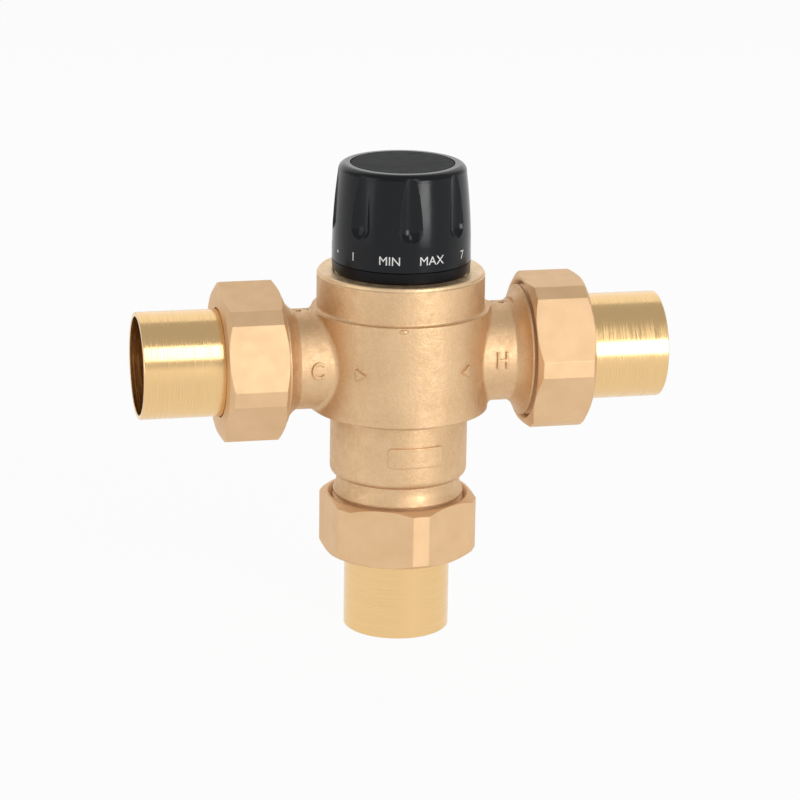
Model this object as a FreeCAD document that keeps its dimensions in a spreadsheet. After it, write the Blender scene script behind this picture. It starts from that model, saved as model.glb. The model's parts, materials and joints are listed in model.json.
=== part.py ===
"""Thermostatic mixing valve with three union ends.

Frame: the origin is the centre of the mixed outlet's open end, +Z runs up the valve's axis to the
knob, +X points out of the hot inlet, -X out of the cold inlet, and -Y is the front.
Most pieces are drawn about the crossing of the vertical axis and the inlet axis and are then lifted
by axis_height. Union pieces are drawn with +Z pointing out of their port and zero on the end face
of the casting's boss, and are then turned to their port.
"""
import FreeCAD, Part
import math
import operator
import os
import Sketcher

DIMENSIONS = {
    # where the ports are
    "axis_height": 101.2,           # mixed outlet's open end to the inlet axis
    "inlet_reach": 55.3,            # vertical axis to the end face of an inlet boss
    "outlet_reach": 61.8,           # inlet axis to the end face of the outlet boss
    "top_reach": 31.6,              # inlet axis to the casting's top face
    # casting, outside
    "barrel_radius": 29.95,
    "lip_height": 1.3,
    "lip_inset": 0.5,
    "band_radius": 31.7,
    "band_top": 18.0,
    "ledge_round": 0.9,
    "arm_radius": 17.9,
    "arm_fillet": 2.0,
    "arm_length": 38.8,
    "waist_radius": 24.62,
    "waist_top": 20.9,
    "waist_bottom": 43.6,
    "waist_round": 2.6,
    "neck_bottom": 44.4,
    "collar_radius": 22.3,
    "rim_radius": 23.4,
    "rim_setback": 11.1,
    "rim_width": 0.9,
    "flare_round": 9.0,
    "port_mark_reach": 37.0,
    "port_mark_radius": 1.1,
    "port_mark_depth": 2.4,
    "spot_face_radius": 3.0,
    "spot_face_depth": 0.25,
    # casting, inside
    "liner_radius": 16.5,
    "liner_wall": 2.3,
    "liner_half": 15.5,
    "side_chamber_radius": 27.3,
    "side_chamber_half": 12.5,
    "side_chamber_angle": 164.0,
    "cold_ring_radius": 25.6,
    "cold_ring_top": 22.0,
    "hot_ring_radius": 21.2,
    "hot_ring_drop": 24.5,
    "inlet_bore": 12.5,
    "cartridge_bore": 16.0,
    "cartridge_depth": 12.2,
    "strainer_seat_radius": 18.1,
    "strainer_seat_depth": 1.2,
    "outlet_bore": 14.9,
    "outlet_mouth_radius": 17.0,
    "outlet_mouth_depth": 17.5,
    # screwed union
    "male_thread_radius": 23.8,     # G 1 1/2, outside
    "female_thread_radius": 23.9,
    "boss_thread_length": 9.9,
    "nut_flats": 52.0,
    "nut_corners": 56.6,            # across the cut corners
    "nut_back": 10.8,
    "nut_front": 10.5,
    "nut_chamfer": 1.5,
    "nut_hole": 19.45,
    "nut_shoulder": 4.0,
    "nut_mouth_chamfer": 1.3,
    "washer_outer": 22.0,
    "washer_inner": 16.6,
    "washer_thickness": 2.5,
    "flange_radius": 22.2,
    "flange_thickness": 4.0,
    "tail_radius": 19.05,
    "tail_end": 39.4,
    "tail_waterway": 16.0,
    "socket_radius": 17.5,
    "socket_depth": 25.0,
    "cold_nut_turn": 16.8,
    "hot_nut_turn": -28.9,
    "mixed_nut_turn": -35.2,
    # strainer and check valve of an inlet
    "strainer_radius": 14.6,
    "strainer_length": 10.0,
    "strainer_wall": 0.8,
    "strainer_slots": 12,
    "check_housing_radius": 15.9,
    "check_throat": 9.5,
    "check_ring_depth": 2.65,
    "check_groove": 14.4,
    "check_seat_depth": 4.1,
    "check_chamber": 13.2,
    "poppet_radius": 11.6,
    "poppet_thickness": 2.2,
    "poppet_nose": 8.8,
    "poppet_bottom": 7.4,
    "check_stem_end": 24.0,
    "check_stem": 2.0,
    "check_guide_depth": 22.2,
    "check_spring_radius": 5.0,
    "check_spring_wire": 0.8,
    # headwork, index ring and knob
    "headwork_thread": 20.5,
    "headwork_flange": 24.1,
    "headwork_flange_thickness": 2.5,
    "upper_seat": 18.5,
    "seat_ring_radius": 17.0,
    "seal_pocket_radius": 22.8,
    "seal_pocket_depth": 1.8,
    "headwork_neck": 11.5,
    "headwork_nose": 8.5,
    "thrust_pocket": 8.0,
    "key_width": 3.0,
    "key_radius": 13.0,
    "guide_bore": 11.5,
    "guide_top": 35.0,
    "thrust_shoulder": 40.0,
    "headwork_top": 48.0,
    "headwork_hex": 27.0,
    "ring_top": 35.6,
    "knob_radius": 24.7,
    "knob_bottom": 35.9,
    "knob_waist": 45.0,
    "knob_shoulder": 67.4,
    "knob_shoulder_radius": 22.7,
    "knob_top": 70.1,
    "knob_edge_round": 2.6,
    "knob_side_round": 250.0,
    "knob_hollow": 20.2,
    "knob_hollow_top": 64.5,
    "knob_hub": 7.0,
    "cap_radius": 18.4,
    "cap_thickness": 1.9,
    "flute_count": 8,
    "flute_cutter": 6.0,
    "flute_floor": 22.35,
    "flute_bottom": 51.0,
    "knob_turn": -4.5,              # the knob's rest turn about the valve's axis
    # spindle
    "spindle_radius": 4.97,
    "spindle_bottom": 24.0,
    "spindle_collar": 7.4,
    "lower_o_ring": 42.55,
    "upper_o_ring": 45.75,
    "clip_groove": 4.1,
    "spline_radius": 4.5,
    "spindle_top": 62.5,
    # adjusting nut and overload spring
    "nut_bottom": 8.0,
    "nut_top": 33.0,
    "nut_barrel": 10.4,
    "spring_well": 8.5,
    "spring_well_top": 27.0,
    "cup_seat": 13.3,
    "cup_ring_bottom": 10.3,
    "overload_spring_wire": 1.5,
    # shutter, sensing element and return spring
    "shutter_radius": 16.4,
    "shutter_bottom": -16.1,
    "shutter_top": 16.9,
    "shutter_inner": 14.4,
    "shutter_groove": 14.75,
    "shutter_ring_height": 0.5,
    "hub_radius": 11.8,
    "hub_top": -4.9,
    "hub_bottom": -9.0,
    "element_cup": 6.7,
    "element_bottom": -26.0,
    "element_neck": 4.6,
    "element_top": 5.0,
    "piston_radius": 2.0,
    "piston_bottom": -5.0,
    "lower_seat": -18.5,
    "spring_ledge": -40.0,
    "guide_ring_height": -27.5,
    "guide_groove": 13.6,
    "return_spring_radius": 9.6,
    "return_spring_wire": 1.7,
}

doc = FreeCAD.newDocument("MixingValve")
sheet = doc.addObject("Spreadsheet::Sheet", "Dim")


class Size:
    """A number that carries the spreadsheet formula it comes from."""

    def __init__(self, value, formula):
        self.value = value
        self.formula = formula

    def __add__(self, other):
        return combine(operator.add, self, "+", other)

    def __radd__(self, other):
        return combine(operator.add, other, "+", self)

    def __sub__(self, other):
        return combine(operator.sub, self, "-", other)

    def __rsub__(self, other):
        return combine(operator.sub, other, "-", self)

    def __mul__(self, other):
        return combine(operator.mul, self, "*", other)

    def __truediv__(self, other):
        return combine(operator.truediv, self, "/", other)

    def __neg__(self):
        return combine(operator.sub, 0, "-", self)


def as_size(number):
    return number if isinstance(number, Size) else Size(number, repr(number))


def combine(action, left, sign, right):
    left = as_size(left)
    right = as_size(right)
    return Size(action(left.value, right.value), f"({left.formula} {sign} {right.formula})")


class Sizes:
    """The driving dimensions by name, each a Size bound to its cell."""


def fill_sheet():
    sizes = Sizes()
    for row, (alias, value) in enumerate(DIMENSIONS.items(), start=1):
        sheet.set(f"A{row}", alias.replace("_", " "))
        sheet.set(f"B{row}", str(value))
        sheet.setAlias(f"B{row}", alias)
        setattr(sizes, alias, Size(value, f"Dim.{alias}"))
    doc.recompute()
    return sizes


D = fill_sheet()


# ---- sketches ------------------------------------------------------------------------------------

def origin_item(body, role):
    return next(item for item in body.Origin.OriginFeatures if item.Role == role)


def new_body(label, height=None):
    """A body drawn about the crossing of the two axes, lifted by the height of the inlet axis."""
    body = doc.addObject("PartDesign::Body", label)
    body.Label = label
    if height is not None:
        body.setExpression(".Placement.Base.z", height.formula)
    return body


def new_sketch(body, name, plane="XZ_Plane", offset=None):
    sketch = body.newObject("Sketcher::SketchObject", name)
    sketch.AttachmentSupport = [(origin_item(body, plane), "")]
    sketch.MapMode = "FlatFace"
    if offset is not None:
        sketch.setExpression(".AttachmentOffset.Base.z", as_size(offset).formula)
    return sketch


def bind(sketch, constraint, size):
    """Add a dimension and tie it to its formula when it has one."""
    index = sketch.addConstraint(constraint)
    if isinstance(size, Size):
        sketch.setExpression(f"Constraints[{index}]", size.formula)
    return index


def pin_point(sketch, geometry, position, across, up):
    """Fix a sketch point by its two distances from the sketch origin."""
    for kind, axis, size in (("DistanceX", -2, across), ("DistanceY", -1, up)):
        value = as_size(size).value
        if not isinstance(size, Size) and value == 0:
            sketch.addConstraint(Sketcher.Constraint("PointOnObject", geometry, position, axis))
        else:
            bind(sketch, Sketcher.Constraint(kind, -1, 1, geometry, position, value), size)


def arc_between(start, end, radius):
    """The short arc from start to end; a positive radius turns left, a negative one right."""
    chord = end - start
    middle = (start + end) * 0.5
    left = FreeCAD.Vector(-chord.y, chord.x, 0).normalize()
    offset = math.sqrt(max(radius * radius - chord.Length * chord.Length / 4, 0))
    centre = middle + left * math.copysign(offset, radius)
    first = math.atan2(start.y - centre.y, start.x - centre.x)
    last = math.atan2(end.y - centre.y, end.x - centre.x)
    circle = Part.Circle(centre, FreeCAD.Vector(0, 0, 1), abs(radius))
    if radius > 0:
        return Part.ArcOfCircle(circle, first, last), 1, 2
    return Part.ArcOfCircle(circle, last, first), 2, 1


def draw_outline(sketch, corners):
    """A closed outline. A third entry is the radius of the arc that leads into that corner."""
    edges = []
    for index, corner in enumerate(corners):
        before = corners[index - 1]
        start = FreeCAD.Vector(as_size(before[0]).value, as_size(before[1]).value, 0)
        end = FreeCAD.Vector(as_size(corner[0]).value, as_size(corner[1]).value, 0)
        if len(corner) == 3:
            radius = as_size(corner[2])
            arc, begins, ends = arc_between(start, end, radius.value)
            geometry = sketch.addGeometry(arc, False)
            size = -corner[2] if radius.value < 0 else corner[2]
            bind(sketch, Sketcher.Constraint("Radius", geometry, abs(radius.value)), size)
        else:
            begins, ends = 1, 2
            geometry = sketch.addGeometry(Part.LineSegment(start, end), False)
        edges.append((geometry, begins, ends))
    for index, (geometry, begins, ends) in enumerate(edges):
        after, after_begins, _ = edges[(index + 1) % len(edges)]
        sketch.addConstraint(Sketcher.Constraint("Coincident", geometry, ends, after, after_begins))
        pin_point(sketch, geometry, ends, corners[index][0], corners[index][1])
    return sketch


def draw_circle(sketch, radius, across=0, up=0):
    centre = FreeCAD.Vector(as_size(across).value, as_size(up).value, 0)
    circle = Part.Circle(centre, FreeCAD.Vector(0, 0, 1), as_size(radius).value)
    geometry = sketch.addGeometry(circle, False)
    bind(sketch, Sketcher.Constraint("Radius", geometry, as_size(radius).value), radius)
    if not isinstance(across, Size) and not isinstance(up, Size) and across == 0 and up == 0:
        sketch.addConstraint(Sketcher.Constraint("Coincident", geometry, 3, -1, 1))
    else:
        pin_point(sketch, geometry, 3, across, up)
    return sketch


def draw_box(sketch, left, bottom, right, top):
    return draw_outline(sketch, [(left, bottom), (right, bottom), (right, top), (left, top)])


def draw_polygon(sketch, radius, angles, across=0, up=0):
    """A closed polygon with its corners on a circle, at angles in degrees."""
    corners = []
    for angle in angles:
        cosine = math.cos(math.radians(angle))
        sine = math.sin(math.radians(angle))
        corners.append((radius * cosine + across, radius * sine + up))
    return draw_outline(sketch, corners)


# ---- features ------------------------------------------------------------------------------------

def turn(body, name, corners, cut=False, axis="V_Axis", angle=None):
    """Revolve an outline of (radius, height) about the body's Z axis, or about X with H_Axis.

    An angle makes a sector of it, centred on the plane of the outline.
    """
    sketch = draw_outline(new_sketch(body, name + "_profile"), corners)
    return turn_sketch(body, name, sketch, cut, axis, angle)


def turn_sketch(body, name, sketch, cut=False, axis="V_Axis", angle=None):
    feature = body.newObject("PartDesign::Groove" if cut else "PartDesign::Revolution", name)
    feature.Profile = sketch
    feature.ReferenceAxis = (sketch, [axis])
    feature.Angle = 360
    if angle is not None:
        feature.Midplane = True
        feature.Angle = angle.value
        feature.setExpression("Angle", angle.formula)
    return feature


def extrude(body, kind, name, sketch, length, reverse):
    feature = body.newObject("PartDesign::" + kind, name)
    feature.Profile = sketch
    feature.Length = as_size(length).value
    if isinstance(length, Size):
        feature.setExpression("Length", length.formula)
    feature.Reversed = reverse
    return feature


def pad_up(body, name, sketch, length):
    return extrude(body, "Pad", name, sketch, length, False)


def pocket_down(body, name, sketch, length):
    return extrude(body, "Pocket", name, sketch, length, False)


def pocket_up(body, name, sketch, length):
    return extrude(body, "Pocket", name, sketch, length, True)


def repeat_round(body, features, count):
    """Repeat features evenly round the Z axis."""
    pattern = body.newObject("PartDesign::PolarPattern", features[0].Name + "_pattern")
    pattern.Originals = features
    pattern.Axis = (origin_item(body, "Z_Axis"), [""])
    pattern.Angle = 360
    pattern.Occurrences = int(as_size(count).value)
    if isinstance(count, Size):
        pattern.setExpression("Occurrences", count.formula)
    body.Tip = pattern
    return pattern


def mirror_across(body, features):
    """Repeat features on the other side of the body's YZ plane."""
    mirror = body.newObject("PartDesign::Mirrored", features[0].Name + "_mirror")
    mirror.Originals = features
    mirror.MirrorPlane = (origin_item(body, "YZ_Plane"), [""])
    body.Tip = mirror
    return mirror


def coil(body, ring_radius, wire, bottom, top, turns):
    """A compression spring of six-sided wire that fills the height between two seats."""
    margin = wire * 0.55
    sketch = new_sketch(body, "wire_section")
    draw_polygon(sketch, wire / 2, range(0, 360, 60), ring_radius, bottom + margin)
    helix = body.newObject("PartDesign::AdditiveHelix", "coil")
    helix.Profile = sketch
    helix.ReferenceAxis = (sketch, ["V_Axis"])
    helix.Mode = "height-turns-angle"
    height = top - bottom - margin * 2
    helix.Height = height.value
    helix.setExpression("Height", height.formula)
    helix.Turns = turns
    return helix


# ---- valve casting -------------------------------------------------------------------------------

def boss_outline(reach, root, root_radius):
    """Half section of a threaded boss from its root outwards: flare, rim, undercut and thread."""
    rim_end = reach - D.rim_setback
    thread_start = reach - D.boss_thread_length
    undercut = D.male_thread_radius - 1.3
    return [
        (root, root_radius),
        (rim_end - D.rim_width, D.rim_radius, D.flare_round),
        (rim_end, D.rim_radius),
        (rim_end, undercut),
        (thread_start - 0.6, undercut),
        (thread_start + 0.6, D.male_thread_radius),
        (reach - 0.8, D.male_thread_radius),
        (reach, D.male_thread_radius - 0.8),
    ]


def make_valve_body():
    body = new_body("valve_body", D.axis_height)
    shoulder = D.band_top + 6
    outlet = boss_outline(D.outlet_reach, D.neck_bottom, D.collar_radius)
    turn(body, "barrel", [
        (0, 0 - D.outlet_reach),
        (0, shoulder),
        (D.band_radius, shoulder),
        (D.band_radius, 0 - D.waist_bottom),
        (D.collar_radius, 0 - D.waist_bottom),
    ] + [(point[1], 0 - point[0]) + point[2:] for point in outlet])
    arm = turn(body, "arm", [(0, 0), (0, D.arm_radius)]
               + boss_outline(D.inlet_reach, D.arm_length, D.arm_radius)
               + [(D.inlet_reach, 0)], axis="H_Axis")
    arms = mirror_across(body, [arm])
    doc.recompute()
    blend_arms(body, arms)
    cut_waist(body)
    turn_shoulder(body)
    cut_chambers(body)
    cut_main_bore(body)
    cut_inlet_ports(body)
    return body


def blend_arms(body, arms):
    """Fillet the curves along which the arms' cylinder crosses the band's."""
    names = []
    for number, edge in enumerate(arms.Shape.Edges, start=1):
        points = edge.discretize(9)
        on_arm = all(abs(math.hypot(p.y, p.z) - D.arm_radius.value) < 0.01 for p in points)
        on_band = all(abs(math.hypot(p.x, p.y) - D.band_radius.value) < 0.01 for p in points)
        if on_arm and on_band:
            names.append(f"Edge{number}")
    blend = body.newObject("PartDesign::Fillet", "arm_blend")
    blend.Base = (arms, names)
    blend.Radius = D.arm_fillet.value
    blend.setExpression("Radius", D.arm_fillet.formula)
    return blend


def cut_waist(body):
    """Turn the barrel down to the waist below the arms, leaving a sloping underside."""
    clear = D.arm_radius + 0.05
    outside = D.band_radius + 1.4
    return turn(body, "waist", [
        (outside, 0 - D.waist_bottom),
        (outside, 0 - clear),
        (D.waist_radius, 0 - D.waist_top),
        (D.waist_radius, D.waist_round - D.waist_bottom),
        (D.collar_radius, 0 - D.waist_bottom, -D.waist_round),
    ], cut=True)


def turn_shoulder(body):
    """Turn the barrel down above the band's ledge, and add its upper part with the lip."""
    lip_bottom = D.top_reach - D.lip_height
    lip_radius = D.barrel_radius - D.lip_inset
    outside = D.band_radius + 9
    turn(body, "shoulder", [
        (D.barrel_radius + D.ledge_round, D.band_top, D.ledge_round),
        (outside, D.band_top),
        (outside, D.band_top + 8),
        (D.barrel_radius, D.band_top + 8),
        (D.barrel_radius, D.band_top + D.ledge_round),
    ], cut=True)
    return turn(body, "upper_barrel", [
        (0, D.band_top - 4),
        (D.barrel_radius, D.band_top - 4),
        (D.barrel_radius, lip_bottom),
        (lip_radius, lip_bottom),
        (lip_radius, D.top_reach - 0.4),
        (lip_radius - 0.4, D.top_reach),
        (0, D.top_reach),
    ])


def cut_chambers(body):
    """A side chamber behind each inlet, one opening upwards and the other downwards."""
    liner_outer = D.liner_radius + D.liner_wall
    half = D.side_chamber_half
    turn(body, "hot_chamber", [
        (liner_outer, half),
        (liner_outer, 0 - D.liner_half - 0.5),
        (D.hot_ring_radius, 0 - D.liner_half - 0.5),
        (D.hot_ring_radius + 3, 0 - half),
        (D.side_chamber_radius, 0 - half),
        (D.side_chamber_radius, half),
    ], cut=True, angle=D.side_chamber_angle)
    turn(body, "cold_chamber", [
        (0 - liner_outer, 0 - half),
        (0 - liner_outer, D.liner_half + 0.5),
        (0 - D.cold_ring_radius, D.liner_half + 0.5),
        (0 - D.side_chamber_radius, half),
        (0 - D.side_chamber_radius, 0 - half),
    ], cut=True, angle=D.side_chamber_angle)


def cut_main_bore(body):
    """The vertical bore: headwork thread, cold ring, shutter liner, hot ring and outlet."""
    flange_floor = D.top_reach - D.headwork_flange_thickness
    seal_floor = flange_floor - D.seal_pocket_depth
    mouth_top = D.outlet_mouth_depth - D.outlet_reach
    return turn(body, "main_bore", [
        (0, D.top_reach + 1),
        (0, 0 - D.outlet_reach - 1),
        (D.outlet_mouth_radius, 0 - D.outlet_reach - 1),
        (D.outlet_mouth_radius, mouth_top),
        (D.outlet_bore, mouth_top + 1.2),
        (D.outlet_bore, 0 - D.hot_ring_drop),
        (D.hot_ring_radius, 0 - D.hot_ring_drop),
        (D.hot_ring_radius, 0 - D.liner_half),
        (D.liner_radius, 0 - D.liner_half),
        (D.liner_radius, D.liner_half),
        (D.cold_ring_radius, D.liner_half),
        (D.cold_ring_radius, D.cold_ring_top),
        (D.headwork_thread, D.cold_ring_top),
        (D.headwork_thread, seal_floor),
        (D.seal_pocket_radius, seal_floor),
        (D.seal_pocket_radius, flange_floor),
        (D.headwork_flange + 0.1, flange_floor),
        (D.headwork_flange + 0.1, D.top_reach + 1),
    ], cut=True)


def cut_inlet_ports(body):
    """The bore of each inlet, and the small blind hole in a spot face on top of each arm."""
    bore_start = D.liner_radius + 4.5
    mouth = D.inlet_reach + 1
    strainer_floor = D.inlet_reach - D.strainer_seat_depth
    cartridge_floor = D.inlet_reach - D.cartridge_depth
    port = turn(body, "port", [
        (bore_start, 0),
        (mouth, 0),
        (mouth, D.strainer_seat_radius),
        (strainer_floor, D.strainer_seat_radius),
        (strainer_floor, D.cartridge_bore),
        (cartridge_floor, D.cartridge_bore),
        (cartridge_floor, D.inlet_bore),
        (bore_start, D.inlet_bore),
    ], cut=True, axis="H_Axis")
    above = D.arm_radius + 2
    spot = new_sketch(body, "spot_face_outline", "XY_Plane", above)
    draw_circle(spot, D.spot_face_radius, D.port_mark_reach - 0.8, 0)
    spot_face = pocket_down(body, "spot_face", spot, D.spot_face_depth + 2)
    mark = new_sketch(body, "port_mark_outline", "XY_Plane", above)
    draw_circle(mark, D.port_mark_radius, D.port_mark_reach, 0)
    port_mark = pocket_down(body, "port_mark", mark, D.port_mark_depth + 2)
    return mirror_across(body, [port, spot_face, port_mark])


# ---- headwork, index ring and knob ---------------------------------------------------------------

def make_headwork():
    """Screwed top piece: upper seat, guide for the adjusting nut, and the spindle's gland."""
    body = new_body("headwork", D.axis_height)
    flange_floor = D.top_reach - D.headwork_flange_thickness
    gland = D.spindle_radius + 0.08
    root = D.headwork_hex / 2 - 0.2
    turn(body, "turned_form", [
        (D.guide_bore, D.upper_seat),
        (D.seat_ring_radius, D.upper_seat),
        (D.seat_ring_radius, D.cold_ring_top),
        (D.headwork_thread - 0.1, D.cold_ring_top),
        (D.headwork_thread - 0.1, flange_floor),
        (D.headwork_flange, flange_floor),
        (D.headwork_flange, D.top_reach - 0.3),
        (D.headwork_flange - 0.3, D.top_reach),
        (root, D.top_reach),
        (root, D.guide_top + 3),
        (D.headwork_neck, D.guide_top + 3),
        (D.headwork_neck, D.headwork_top - 4),
        (D.headwork_nose, D.headwork_top - 4),
        (D.headwork_nose, D.headwork_top),
        (gland, D.headwork_top),
        (gland, D.thrust_shoulder),
        (D.thrust_pocket, D.thrust_shoulder),
        (D.thrust_pocket, D.guide_top),
        (D.guide_bore, D.guide_top),
    ])
    hexagon = new_sketch(body, "hexagon_outline", "XY_Plane", D.top_reach)
    draw_polygon(hexagon, D.headwork_hex / math.sqrt(3), range(30, 390, 60))
    draw_circle(hexagon, D.guide_bore)
    pad_up(body, "hexagon", hexagon, D.guide_top - D.top_reach + 3)
    keyway = new_sketch(body, "keyway_outline", "XY_Plane", D.upper_seat)
    draw_box(keyway, 0 - D.key_width / 2 - 0.15, 8.0, D.key_width / 2 + 0.15, D.key_radius + 0.2)
    slot = pocket_up(body, "keyway", keyway, D.guide_top - D.upper_seat)
    repeat_round(body, [slot], 2)
    return body


def make_o_ring(label, ring_radius, wire_radius, height):
    body = new_body(label, D.axis_height)
    section = draw_circle(new_sketch(body, "section"), wire_radius, ring_radius, height)
    turn_sketch(body, "o_ring", section)
    return body


def make_index_ring():
    """Black ring under the knob, keyed on the headwork's hexagon."""
    body = new_body("index_ring", D.axis_height)
    bottom = D.top_reach + 0.05
    outer_wall = D.knob_radius - 2.2
    turn(body, "ring", [
        (12.0, bottom),
        (D.knob_radius - 0.7, bottom),
        (D.knob_radius - 0.2, bottom + 0.5),
        (D.knob_radius, D.ring_top),
        (outer_wall, D.ring_top),
        (outer_wall, bottom + 1.8),
        (17.6, bottom + 1.8),
        (17.6, D.ring_top - 1),
        (12.0, D.ring_top - 1),
    ])
    socket = new_sketch(body, "socket_outline", "XY_Plane", D.top_reach)
    draw_polygon(socket, (D.headwork_hex + 0.4) / math.sqrt(3), range(30, 390, 60))
    pocket_up(body, "hexagon_socket", socket, 6.0)
    return body


def make_knob():
    """Hollow moulded knob. Upright ball-ended cutters scallop its tapering side into arches."""
    body = new_body("knob", D.axis_height)
    turn_to_rest(body)
    cap_seat = D.knob_top - D.cap_thickness
    screw_seat = cap_seat - 2.4
    spline_top = D.spindle_top + 0.5
    hub_bottom = D.headwork_top + 2.5
    turn(body, "shell", [
        (D.knob_hollow, D.knob_bottom),
        (D.knob_radius, D.knob_bottom),
        (D.knob_radius - 0.15, D.knob_waist),
        (D.knob_shoulder_radius, D.knob_shoulder, D.knob_side_round),
        (D.knob_shoulder_radius - 2.3, D.knob_top, D.knob_edge_round),
        (D.cap_radius + 0.15, D.knob_top),
        (D.cap_radius + 0.15, cap_seat),
        (4.6, cap_seat),
        (4.6, screw_seat),
        (2.2, screw_seat),
        (2.2, spline_top),
        (D.spline_radius + 0.1, spline_top),
        (D.spline_radius + 0.1, hub_bottom),
        (D.knob_hub, hub_bottom),
        (D.knob_hub, D.knob_hollow_top),
        (D.knob_hollow, D.knob_hollow_top),
    ])
    rib_bottom = D.headwork_top + 6
    rib_outline = new_sketch(body, "rib_outline", "XY_Plane", rib_bottom)
    draw_box(rib_outline, -0.8, D.knob_hub - 0.5, 0.8, D.knob_hollow + 0.5)
    rib = pad_up(body, "rib", rib_outline, D.knob_hollow_top - rib_bottom + 0.5)
    repeat_round(body, [rib], 4)
    doc.recompute()
    cut_flutes(body)
    return body


def cut_flutes(body):
    """One upright ball-ended cutter beside the knob's side, repeated round it."""
    cutter_axis = D.flute_floor + D.flute_cutter
    above = D.knob_top + 2
    sketch = new_sketch(body, "flute_cutter_profile")
    draw_outline(sketch, [
        (cutter_axis, above),
        (D.flute_floor, above),
        (D.flute_floor, D.flute_bottom),
        (cutter_axis, D.flute_bottom - D.flute_cutter, D.flute_cutter),
    ])
    axis_bottom = FreeCAD.Vector(cutter_axis.value, D.knob_bottom.value, 0)
    axis_top = FreeCAD.Vector(cutter_axis.value, above.value, 0)
    axis = sketch.addGeometry(Part.LineSegment(axis_bottom, axis_top), True)
    pin_point(sketch, axis, 1, cutter_axis, D.knob_bottom)
    pin_point(sketch, axis, 2, cutter_axis, above)
    flute = turn_sketch(body, "flute", sketch, cut=True, axis="Axis0")
    return repeat_round(body, [flute], D.flute_count)


def turn_to_rest(body):
    """Turn a piece of the knob's body to where the knob stands at rest."""
    body.Placement.Rotation = FreeCAD.Rotation(FreeCAD.Vector(0, 0, 1), D.knob_turn.value)


def make_knob_cap():
    body = new_body("knob_cap", D.axis_height)
    turn_to_rest(body)
    bottom = D.knob_top - D.cap_thickness + 0.02
    turn(body, "disc", [
        (0, bottom),
        (D.cap_radius, bottom),
        (D.cap_radius, D.knob_top - 0.35),
        (D.cap_radius - 0.35, D.knob_top),
        (0, D.knob_top),
    ])
    return body


def make_knob_screw():
    body = new_body("knob_screw", D.axis_height)
    seat = D.knob_top - D.cap_thickness - 2.4
    turn(body, "screw", [
        (0, D.spindle_top - 8.5),
        (1.6, D.spindle_top - 8.5),
        (1.6, seat),
        (4.0, seat),
        (4.0, seat + 1.6),
        (3.4, seat + 2.1),
        (0, seat + 2.1),
    ])
    for turned, name in ((0, "slot"), (90, "cross_slot")):
        recess = new_sketch(body, name + "_outline", "XY_Plane", seat + 2.1)
        if turned:
            draw_box(recess, -0.45, -2.0, 0.45, 2.0)
        else:
            draw_box(recess, -2.0, -0.45, 2.0, 0.45)
        pocket_down(body, name, recess, 1.3)
    return body


def make_spindle():
    """Turned by the knob; its plain lower end carries the adjusting screw thread."""
    body = new_body("spindle", D.axis_height)
    turn_to_rest(body)
    groove = D.spindle_radius - 1.07
    clip = D.headwork_top + 0.3
    turn(body, "turned_form", [
        (0, D.spindle_bottom),
        (D.spindle_radius - 0.6, D.spindle_bottom),
        (D.spindle_radius, D.spindle_bottom + 0.6),
        (D.spindle_radius, D.thrust_shoulder - 2),
        (D.spindle_collar, D.thrust_shoulder - 2),
        (D.spindle_collar, D.thrust_shoulder - 0.6),
        (D.spindle_radius, D.thrust_shoulder - 0.6),
        (D.spindle_radius, D.lower_o_ring - 0.8),
        (groove, D.lower_o_ring - 0.8),
        (groove, D.lower_o_ring + 0.8),
        (D.spindle_radius, D.lower_o_ring + 0.8),
        (D.spindle_radius, D.upper_o_ring - 0.8),
        (groove, D.upper_o_ring - 0.8),
        (groove, D.upper_o_ring + 0.8),
        (D.spindle_radius, D.upper_o_ring + 0.8),
        (D.spindle_radius, clip),
        (D.clip_groove, clip),
        (D.clip_groove, clip + 0.9),
        (D.spindle_radius, clip + 0.9),
        (D.spindle_radius, clip + 1.7),
        (D.spline_radius, clip + 1.7),
        (D.spline_radius, D.spindle_top),
        (1.65, D.spindle_top),
        (1.65, D.spindle_top - 9.5),
        (0, D.spindle_top - 10.4),
    ])
    gap = new_sketch(body, "spline_gap", "XY_Plane", D.headwork_top + 3)
    draw_box(gap, D.spline_radius - 0.6, -0.5, D.spline_radius + 0.5, 0.5)
    spline = pocket_up(body, "spline", gap, D.spindle_top - D.headwork_top)
    repeat_round(body, [spline], 6)
    return body


def make_ring(label, inner, outer, bottom, top):
    body = new_body(label, D.axis_height)
    turn(body, "ring", [(inner, bottom), (outer, bottom), (outer, top), (inner, top)])
    return body


def make_snap_ring(label, inner, outer, bottom, thickness, opening, ears_inside):
    """Open ring with an eared gap, for a groove in a shaft or in a bore."""
    body = make_ring(label, inner, outer, bottom, bottom + thickness)
    ear_reach = inner - 0.5 if ears_inside else outer + 0.5
    for side, name in ((-1, "left_ear"), (1, "right_ear")):
        ear = new_sketch(body, name + "_outline", "XY_Plane", bottom)
        draw_circle(ear, 1.25, side * (opening / 2 + 0.75), ear_reach)
        pad_up(body, name, ear, thickness)
    gap = new_sketch(body, "gap_outline", "XY_Plane", bottom)
    draw_box(gap, -opening / 2, 0.5, opening / 2, outer + 3)
    pocket_up(body, "gap", gap, thickness)
    for side, name in ((-1, "left_eye"), (1, "right_eye")):
        eye = new_sketch(body, name + "_outline", "XY_Plane", bottom)
        draw_circle(eye, 0.5, side * (opening / 2 + 0.75), ear_reach)
        pocket_up(body, name, eye, thickness)
    return body


# ---- adjusting nut and overload spring -----------------------------------------------------------

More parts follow.
